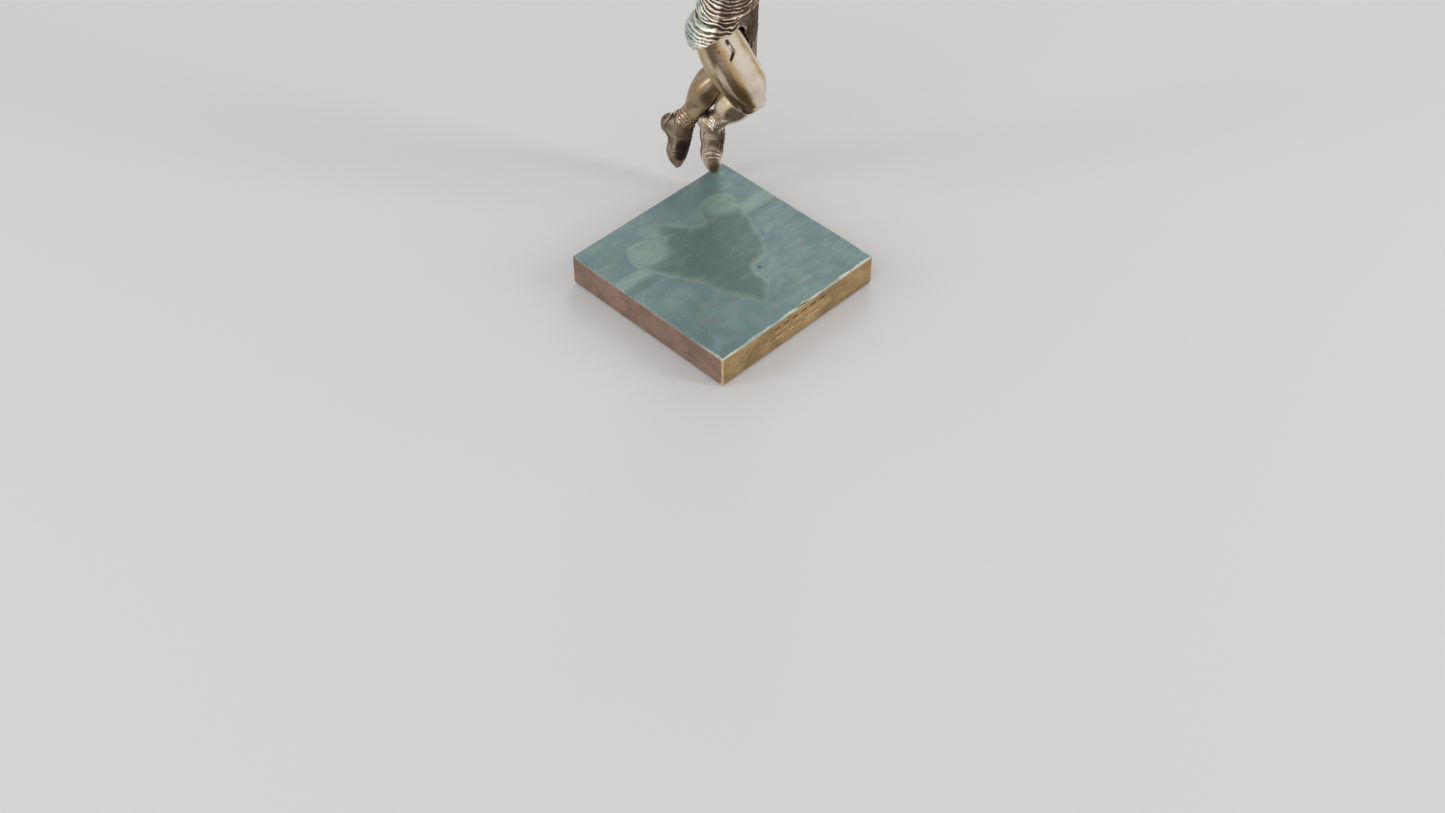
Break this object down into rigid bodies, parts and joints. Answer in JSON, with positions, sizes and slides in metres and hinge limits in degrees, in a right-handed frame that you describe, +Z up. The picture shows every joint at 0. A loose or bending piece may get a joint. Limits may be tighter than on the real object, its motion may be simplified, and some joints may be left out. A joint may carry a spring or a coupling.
{
  "type": "figure trophy",
  "caption": "Bronze leaping player in jersey and shorts, pinned by one toe to the back corner of a flat square plated plinth; rests on a felt pad.",
  "frame": {"origin": "centre of the underside of the felt pad", "axes": "+Z up; -Y out of the engraved front plate; +X to the right when facing the front plate"},
  "size_m": [0.2307, 0.2008, 0.3932],
  "materials": {
    "verdigris_bronze": "mottled green patina",
    "golden_bronze": "polished, dark in the hollows",
    "dark_bronze": "dark brown patina, worn on the edges",
    "plinth_patina": "matte grey-green patina, chipped pale at the edges",
    "golden_plate": "brushed and lightly stained",
    "red_plate": "matte reddish brown",
    "hardwood": "sealed",
    "steel": "zinc plated",
    "felt": "felt"
  },
  "bodies": {
    "root": {"plinth_core": "hardwood", "top_plate": "plinth_patina", "front_plate": "golden_plate", "back_plate": "red_plate", "left_plate": "red_plate", "right_plate": "golden_plate", "base_plate": "steel", "base_screws": "steel", "felt_pad": "felt", "mounting_bar": "steel", "bar_screws": "steel", "mounting_rod": "steel", "right_boot": "dark_bronze", "right_sock": "golden_bronze", "right_calf": "golden_bronze", "right_thigh": "golden_bronze", "left_boot": "dark_bronze", "left_sock": "golden_bronze", "left_calf": "golden_bronze", "left_thigh": "golden_bronze", "shorts": "verdigris_bronze", "jersey": "verdigris_bronze", "head": "golden_bronze", "right_sleeve": "verdigris_bronze", "right_upper_arm": "golden_bronze", "right_forearm": "golden_bronze", "right_fist": "golden_bronze", "left_sleeve": "verdigris_bronze", "left_upper_arm": "golden_bronze", "left_forearm": "golden_bronze", "left_fist": "golden_bronze", "ankle_dowels": "steel", "hip_dowels": "steel", "waist_dowel": "steel", "shoulder_dowels": "steel", "neck_dowel": "steel"}
  },
  "joints": []
}
